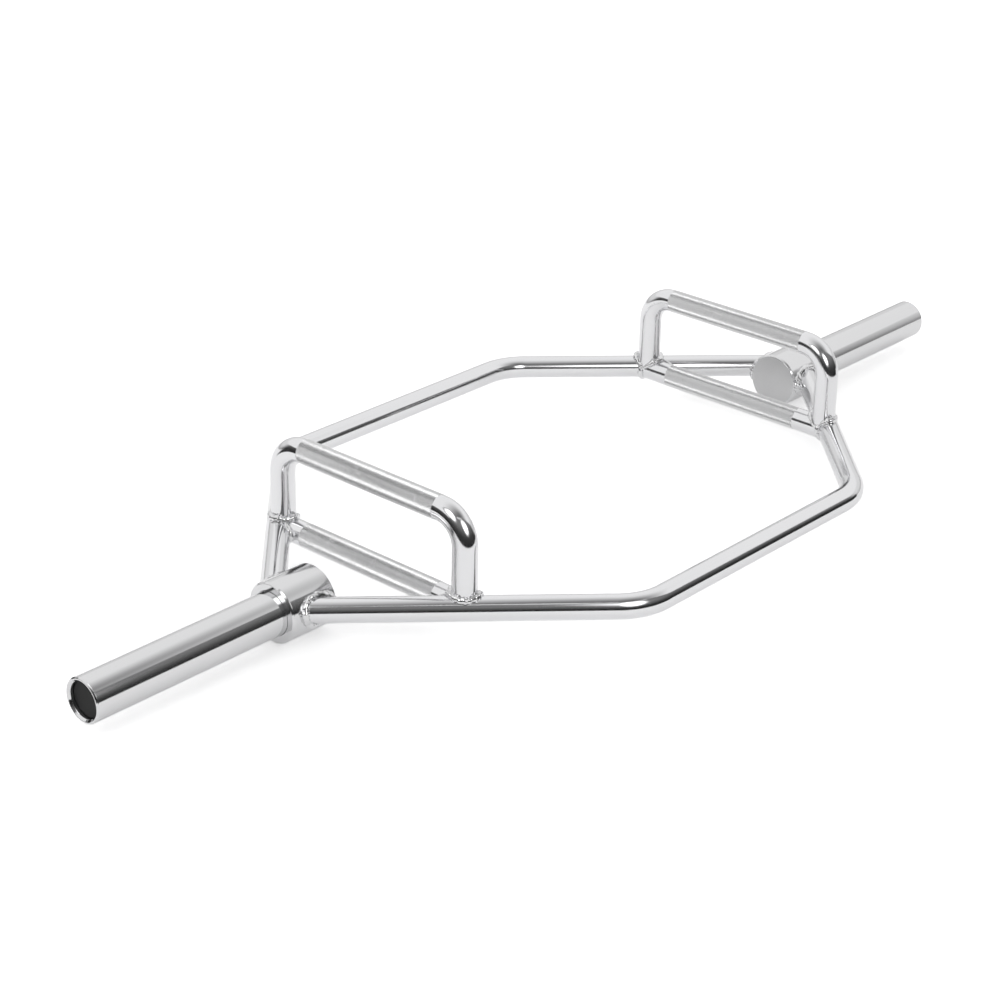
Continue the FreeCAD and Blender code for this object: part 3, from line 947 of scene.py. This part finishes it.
def place_camera(stage):
    """Camera at the photograph's place and angle."""
    data = bpy.data.cameras.new("camera")
    data.lens = stage.lens
    camera = bpy.data.objects.new("camera", data)
    bpy.context.scene.collection.objects.link(camera)
    turn, tilt, roll = stage.camera_azimuth, stage.camera_elevation, stage.camera_roll
    back = Vector((math.sin(turn) * math.cos(tilt), -math.cos(turn) * math.cos(tilt), math.sin(tilt)))
    right = Vector((math.cos(turn), math.sin(turn), 0))
    up = back.cross(right)
    across = right * math.cos(roll) + up * math.sin(roll)
    upward = up * math.cos(roll) - right * math.sin(roll)
    rows = Matrix((across, upward, back)).transposed().to_4x4()
    camera.matrix_world = Matrix.Translation(stage.camera_place) @ rows
    bpy.context.scene.camera = camera


def seen_as_background(tree):
    """Light path value that is 1 for the camera and for reflections, and 0 for light."""
    path = add_node(tree, "ShaderNodeLightPath")
    glossy = add_node(tree, "ShaderNodeMath", operation="MAXIMUM")
    shown = add_node(tree, "ShaderNodeMath", operation="MAXIMUM")
    tree.links.new(path.outputs["Is Camera Ray"], glossy.inputs[0])
    tree.links.new(path.outputs["Is Glossy Ray"], glossy.inputs[1])
    tree.links.new(glossy.outputs["Value"], shown.inputs[0])
    tree.links.new(path.outputs["Is Transmission Ray"], shown.inputs[1])
    return shown.outputs["Value"]


def floor_material(stage):
    """Pale floor that keeps the bar's shadow near the bar and fades to white away from it."""
    material = bpy.data.materials.new("pale_floor")
    material.use_nodes = True
    tree = material.node_tree
    shader = tree.nodes["Principled BSDF"]
    shader.inputs["Base Color"].default_value = (*stage.floor_color, 1)
    shader.inputs["Roughness"].default_value = 1
    shader.inputs["Specular IOR Level"].default_value = 0
    shader.inputs["Emission Color"].default_value = (1, 1, 1, 1)
    place = add_node(tree, "ShaderNodeTexCoord")
    distance = add_node(tree, "ShaderNodeVectorMath", operation="LENGTH")
    fade = add_range(tree, FLOOR_FADE, (stage.floor_lift, 1), "SMOOTHSTEP")
    path = add_node(tree, "ShaderNodeLightPath")
    choose = add_node(tree, "ShaderNodeMix")
    choose.inputs["A"].default_value = stage.floor_mirrored
    shown = add_node(tree, "ShaderNodeMath", operation="MULTIPLY")
    tree.links.new(place.outputs["Object"], distance.inputs[0])
    tree.links.new(distance.outputs["Value"], fade.inputs["Value"])
    tree.links.new(path.outputs["Is Camera Ray"], choose.inputs["Factor"])
    tree.links.new(fade.outputs["Result"], choose.inputs["B"])
    tree.links.new(choose.outputs["Result"], shown.inputs[0])
    tree.links.new(seen_as_background(tree), shown.inputs[1])
    tree.links.new(shown.outputs["Value"], shader.inputs["Emission Strength"])
    return material


def glow_material(name):
    """Emission that is the same in every direction; its strength is linked by the caller."""
    material = bpy.data.materials.new(name)
    material.use_nodes = True
    tree = material.node_tree
    tree.nodes.remove(tree.nodes["Principled BSDF"])
    glow = add_node(tree, "ShaderNodeEmission")
    tree.links.new(glow.outputs["Emission"], tree.nodes["Material Output"].inputs["Surface"])
    place = add_node(tree, "ShaderNodeTexCoord")
    return material, tree, glow, place


def gradient(tree, place, direction, span, ends):
    """Value that changes smoothly between two ends over a span along a direction."""
    along = add_node(tree, "ShaderNodeVectorMath", operation="DOT_PRODUCT")
    along.inputs[1].default_value = direction
    change = add_range(tree, span, ends, "SMOOTHSTEP")
    tree.links.new(place.outputs["Object"], along.inputs[0])
    tree.links.new(along.outputs["Value"], change.inputs["Value"])
    return change.outputs["Result"]


def stage_object(name, bm, material):
    """Object of the studio, which is no piece of the bar."""
    mesh = bpy.data.meshes.new(name)
    bm.to_mesh(mesh)
    bm.free()
    mesh.materials.append(material)
    item = bpy.data.objects.new(name, mesh)
    bpy.context.scene.collection.objects.link(item)
    return item


def add_floor(stage):
    """Round floor, far wider than the bar."""
    bm = bmesh.new()
    bmesh.ops.create_circle(bm, cap_ends=True, segments=STAGE_STEPS, radius=stage.floor_radius)
    stage_object("floor", bm, floor_material(stage))


def hide_from_camera(item):
    """Studio gear that gives light and shows in reflections, but isn't seen itself."""
    item.visible_camera = False
    item.visible_shadow = False


def add_scrim(stage):
    """Lit scrim above the bar with a slanted front edge, dim at its front left."""
    material, tree, glow, place = glow_material("lit_scrim")
    dim = add_node(tree, "ShaderNodeMath", operation="MULTIPLY")
    tree.links.new(gradient(tree, place, X_AXIS, SCRIM_FADE_X, (1, 0)), dim.inputs[0])
    tree.links.new(gradient(tree, place, Y_AXIS, SCRIM_FADE_Y, (1, 0)), dim.inputs[1])
    strength = add_range(tree, (0, 1), SCRIM_LIGHT)
    tree.links.new(dim.outputs["Value"], strength.inputs["Value"])
    tree.links.new(strength.outputs["Result"], glow.inputs["Strength"])
    bm = bmesh.new()
    slant = SCRIM_HALF * SCRIM_SKEW
    corners = (
        (-SCRIM_HALF, SCRIM_FRONT - slant), (SCRIM_HALF, SCRIM_FRONT + slant),
        (SCRIM_HALF, SCRIM_HALF), (-SCRIM_HALF, SCRIM_HALF))
    bm.faces.new([bm.verts.new((x, y, stage.scrim_height)) for x, y in corners])
    hide_from_camera(stage_object("scrim", bm, material))


def add_wall(stage):
    """Studio wall: bright at the rear right, dark at the front and the left, darkest at its foot."""
    material, tree, glow, place = glow_material("studio_wall")
    radius = stage.wall_radius
    towards_light = Vector((math.cos(WALL_HEADING), math.sin(WALL_HEADING), 0)) / radius
    side = gradient(tree, place, towards_light, WALL_EDGE_SHARES, (0, 1))
    dark = gradient(tree, place, Z_AXIS, (0, WALL_DARK_HEIGHT), WALL_DARK)
    bright = gradient(tree, place, Z_AXIS, (0, WALL_BRIGHT_HEIGHT), WALL_BRIGHT)
    strength = add_node(tree, "ShaderNodeMix")
    for name, value in (("Factor", side), ("A", dark), ("B", bright)):
        tree.links.new(value, strength.inputs[name])
    tree.links.new(strength.outputs["Result"], glow.inputs["Strength"])
    bm = bmesh.new()
    ring = add_ring(bm, Vector(), Z_AXIS, radius, STAGE_STEPS)
    push(bm, ring, Z_AXIS * stage.wall_height)
    hide_from_camera(stage_object("wall", bm, material))


def add_card():
    """Low dark card on the floor round the front and the left, which draws a dark line along the bars."""
    material, tree, glow, place = glow_material("dark_card")
    strength = gradient(tree, place, Z_AXIS, (0, CARD_HEIGHT), CARD_LIGHT)
    tree.links.new(strength, glow.inputs["Strength"])
    bm = bmesh.new()
    foot = Vector((math.cos(CARD_START), math.sin(CARD_START), 0))
    edge = bm.edges.new((bm.verts.new(foot), bm.verts.new(foot + Z_AXIS * CARD_HEIGHT)))
    bend(bm, [edge], Vector(), Z_AXIS, CARD_TURN, CARD_STEPS)
    bmesh.ops.scale(bm, vec=(*CARD_RADII, 1), verts=bm.verts)
    card = stage_object("card", bm, material)
    hide_from_camera(card)
    card.visible_diffuse = False


def add_softbox(name, centre, radius):
    """Round lamp that faces the bar, brightest in its middle."""
    material, tree, glow, place = glow_material(name)
    distance = add_node(tree, "ShaderNodeVectorMath", operation="DISTANCE")
    distance.inputs[1].default_value = centre
    fall = add_range(tree, (radius * LAMP_CORE_SHARE, radius), LAMP_LIGHT, "SMOOTHSTEP")
    tree.links.new(place.outputs["Object"], distance.inputs[0])
    tree.links.new(distance.outputs["Value"], fall.inputs["Value"])
    tree.links.new(fall.outputs["Result"], glow.inputs["Strength"])
    bm = bmesh.new()
    facing = (Z_AXIS * FRAME_Z - centre).to_track_quat("Z", "Y").to_matrix().to_4x4()
    bmesh.ops.create_circle(
        bm, cap_ends=True, segments=LAMP_STEPS, radius=radius, matrix=Matrix.Translation(centre) @ facing)
    hide_from_camera(stage_object(name, bm, material))


def set_world():
    """White world behind the floor; it adds little light of its own."""
    world = bpy.data.worlds.new("studio")
    bpy.context.scene.world = world
    world.use_nodes = True
    tree = world.node_tree
    background = tree.nodes["Background"]
    background.inputs["Color"].default_value = (1, 1, 1, 1)
    tree.links.new(seen_as_background(tree), background.inputs["Strength"])


# Operators

def build_pair(settings, name, make, *finish_names):
    """Build a piece on the right and another turned round to the left; the first finish is their slot."""
    for side, sign in SIDES:
        bm = make(settings)
        if sign < 0:
            half_turn(bm)
        finish_piece(bm, f"{side}_{name}", finishes(settings, *finish_names))


class TRAPBAR_OT_frame_bars(Operator):
    """Build the front and the rear frame bar"""

    bl_idname = "trapbar.frame_bars"
    bl_label = "Frame bars"

    def execute(self, context):
        settings = context.scene.trap_bar
        for end, sign in ENDS:
            bm = frame_bar_mesh(settings)
            if sign > 0:
                half_turn(bm)
            finish_piece(bm, f"{end}_frame_bar", finishes(settings, "polished_chrome"))
        return {"FINISHED"}


class TRAPBAR_OT_handles(Operator):
    """Build the raised and the lower handles with their knurled grips"""

    bl_idname = "trapbar.handles"
    bl_label = "Handles"

    def execute(self, context):
        settings = context.scene.trap_bar
        build_pair(settings, "lower_handle", lower_handle_mesh, "polished_chrome", "knurled_chrome")
        build_pair(settings, "raised_handle", raised_handle_mesh, "polished_chrome", "knurled_chrome")
        return {"FINISHED"}


class TRAPBAR_OT_hubs(Operator):
    """Build the turned hubs"""

    bl_idname = "trapbar.hubs"
    bl_label = "Hubs"

    def execute(self, context):
        build_pair(context.scene.trap_bar, "hub", hub_mesh, "satin_chrome", "turned_face")
        return {"FINISHED"}


class TRAPBAR_OT_sleeves(Operator):
    """Build the plate sleeves and the caps in their open ends"""

    bl_idname = "trapbar.sleeves"
    bl_label = "Sleeves and caps"

    def execute(self, context):
        settings = context.scene.trap_bar
        build_pair(settings, "sleeve", sleeve_mesh, "satin_chrome")
        build_pair(settings, "sleeve_cap", cap_mesh, "black_plastic")
        return {"FINISHED"}


class TRAPBAR_OT_welds(Operator):
    """Build the weld beads at the hubs and the handles"""

    bl_idname = "trapbar.welds"
    bl_label = "Weld beads"

    def execute(self, context):
        settings = context.scene.trap_bar
        seed = 0
        for side, side_sign in SIDES:
            for end, end_sign in ENDS:
                for joint, make in (
                        ("hub", hub_bead), ("lower_handle", lower_bead), ("raised_handle", raised_bead)):
                    seed += 1
                    bm = make(settings, seed)
                    mirror_bead(bm, side_sign, end_sign)
                    finish_piece(
                        bm, f"{side}_{end}_{joint}_weld", finishes(settings, "weld_chrome"))
        return {"FINISHED"}


class TRAPBAR_OT_stage(Operator):
    """Set up the camera, the floor and the studio round the bar"""

    bl_idname = "trapbar.stage"
    bl_label = "Stage"

    def execute(self, context):
        stage = context.scene.trap_bar.stage
        place_camera(stage)
        add_floor(stage)
        add_scrim(stage)
        add_wall(stage)
        add_card()
        for lamp in LAMPS:
            add_softbox(*lamp)
        set_world()
        context.scene.view_settings.view_transform = "Standard"
        return {"FINISHED"}


class TRAPBAR_PT_panel(Panel):
    """Lists the steps that build the trap bar"""

    bl_idname = "TRAPBAR_PT_panel"
    bl_label = "Hex trap bar"
    bl_space_type = "VIEW_3D"
    bl_region_type = "UI"
    bl_category = "Trap bar"

    def draw(self, context):
        for step in OPERATORS:
            self.layout.operator(step.bl_idname)


OPERATORS = (
    TRAPBAR_OT_frame_bars, TRAPBAR_OT_handles, TRAPBAR_OT_hubs, TRAPBAR_OT_sleeves,
    TRAPBAR_OT_welds, TRAPBAR_OT_stage,
)
CLASSES = (
    BarSettings, HandleSettings, TurnedSettings, WeldSettings, FinishSettings, StageSettings,
    TrapBarSettings, *OPERATORS, TRAPBAR_PT_panel,
)


def register():
    for item in CLASSES:
        bpy.utils.register_class(item)
    bpy.types.Scene.trap_bar = PointerProperty(type=TrapBarSettings)


def unregister():
    del bpy.types.Scene.trap_bar
    for item in reversed(CLASSES):
        bpy.utils.unregister_class(item)


def main():
    register()
    bpy.ops.trapbar.frame_bars()
    bpy.ops.trapbar.handles()
    bpy.ops.trapbar.hubs()
    bpy.ops.trapbar.sleeves()
    bpy.ops.trapbar.welds()
    bpy.ops.trapbar.stage()


if __name__ == "__main__":
    main()
